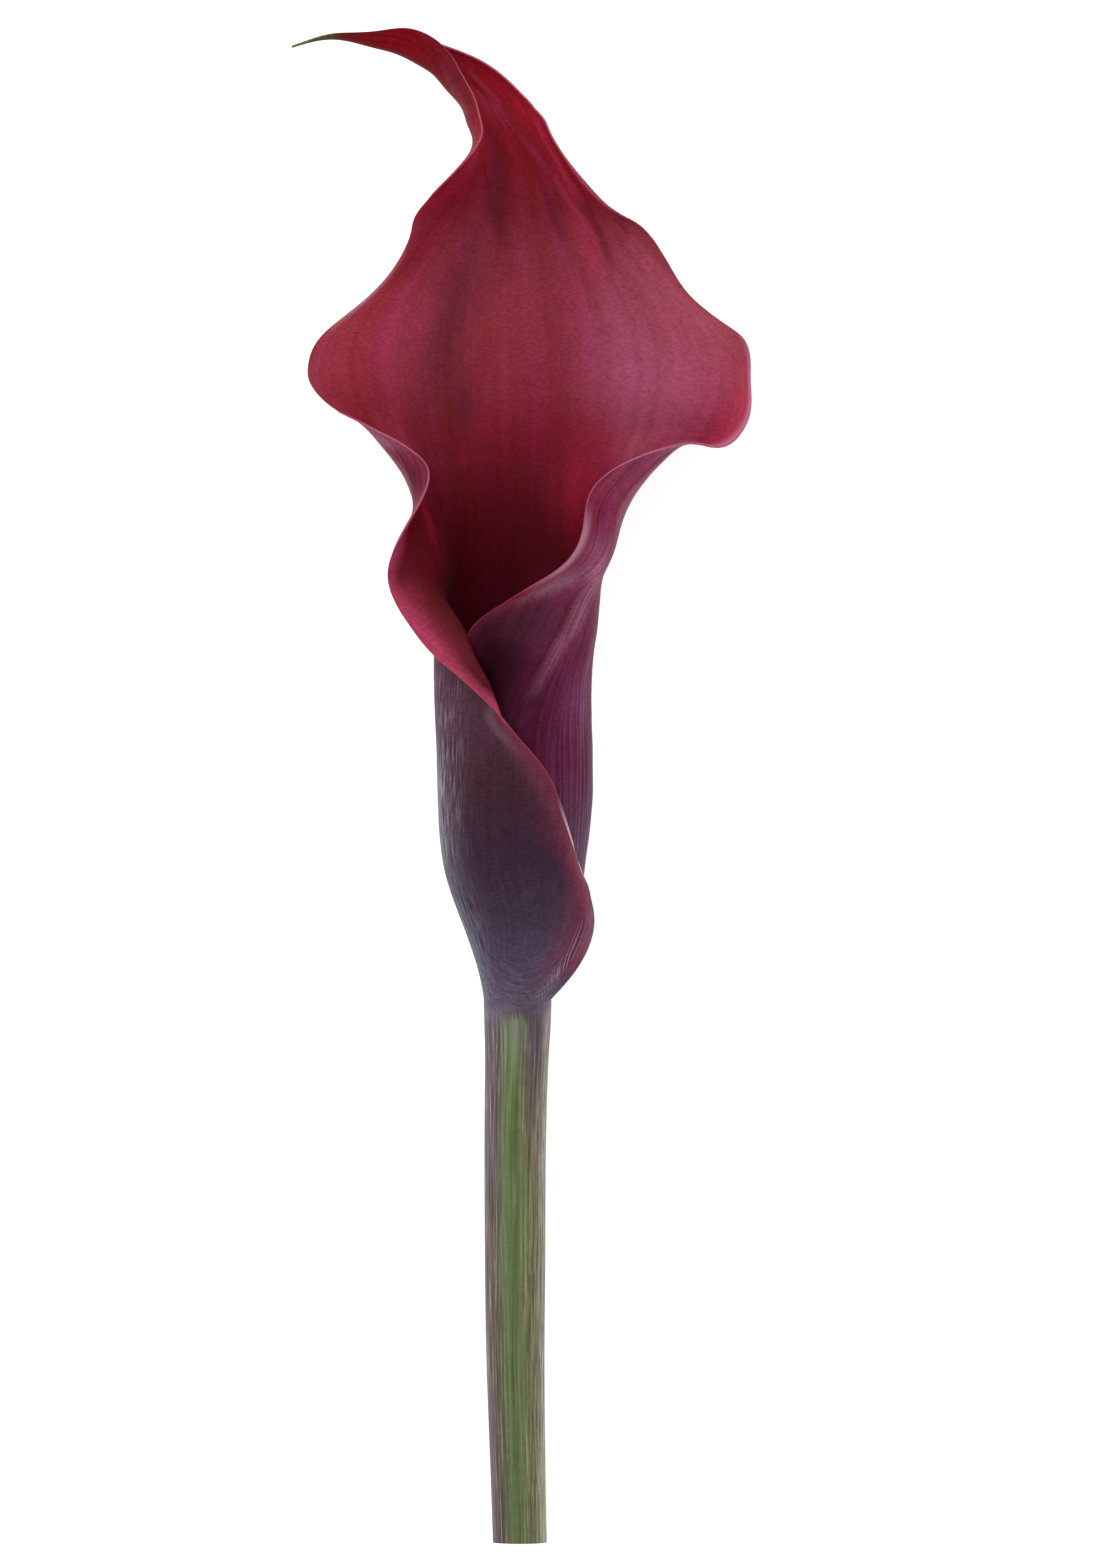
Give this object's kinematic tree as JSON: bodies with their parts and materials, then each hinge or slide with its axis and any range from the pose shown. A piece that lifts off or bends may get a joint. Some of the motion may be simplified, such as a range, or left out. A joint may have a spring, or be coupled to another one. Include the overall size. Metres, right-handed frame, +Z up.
{
  "type": "calla lily flower",
  "caption": "Cut calla lily flower lying on its back: a crimson spathe rolled into a tube with a flared throat and twisted tail, its spadix inside, on a short stem.",
  "frame": {"origin": "on the surface that the flower lies on, under the middle of its bounding box", "axes": "+Y runs from the cut end of the stem to the tail, +Z is up out of the open throat, +X is to the right seen from above"},
  "size_m": [0.0626, 0.2048, 0.0228],
  "materials": {
    "spathe": "soft satin, fine lengthwise veins",
    "stem": "waxy satin, striped green and purple",
    "spadix": "matt, pollen dusted"
  },
  "bodies": {
    "root": {"spathe": "spathe", "stem": "stem", "spadix": "spadix"}
  },
  "joints": []
}
